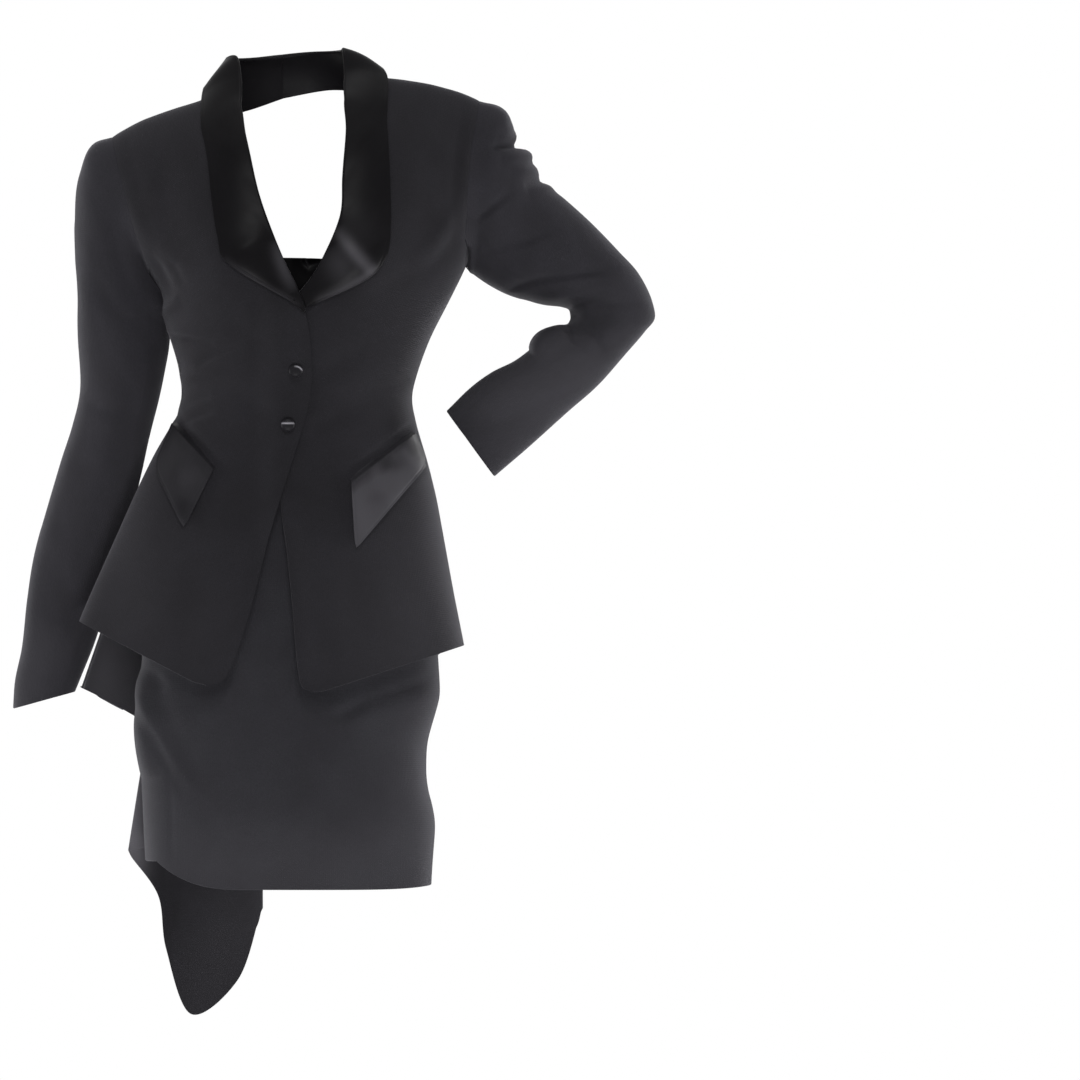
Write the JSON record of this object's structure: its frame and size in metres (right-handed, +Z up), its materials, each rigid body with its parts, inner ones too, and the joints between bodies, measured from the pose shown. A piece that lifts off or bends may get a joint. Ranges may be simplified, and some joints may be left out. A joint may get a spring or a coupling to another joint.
{
  "type": "skirt suit",
  "caption": "Black evening skirt suit: fitted peplum jacket with satin shawl collar, pointed flaps, open back, draped bow and train, over a slim skirt.",
  "frame": {"origin": "the base of the neck between the shoulders, where the wearer holds the suit up", "axes": "+Z up, -Y the way the front faces, +X the wearer's left"},
  "size_m": [0.7135, 0.3311, 1.0776],
  "materials": {
    "wool": "black wool crepe, matt with a soft nap",
    "satin": "black silk satin, soft broad highlights",
    "button": "glossy black"
  },
  "bodies": {
    "root": {"right_front": "wool", "left_front": "wool", "right_back": "wool", "left_back": "wool", "right_top_sleeve": "wool", "right_under_sleeve": "wool", "left_top_sleeve": "wool", "left_under_sleeve": "wool", "right_collar": "satin", "left_collar": "satin", "right_pocket_flap": "satin", "left_pocket_flap": "satin", "upper_button": "button", "lower_button": "button", "back_drape": "satin", "bow_upper_loop": "satin", "bow_lower_loop": "satin", "train": "wool", "skirt_front": "wool", "skirt_left_back": "wool", "skirt_right_back": "wool", "skirt_waistband": "wool"}
  },
  "joints": []
}
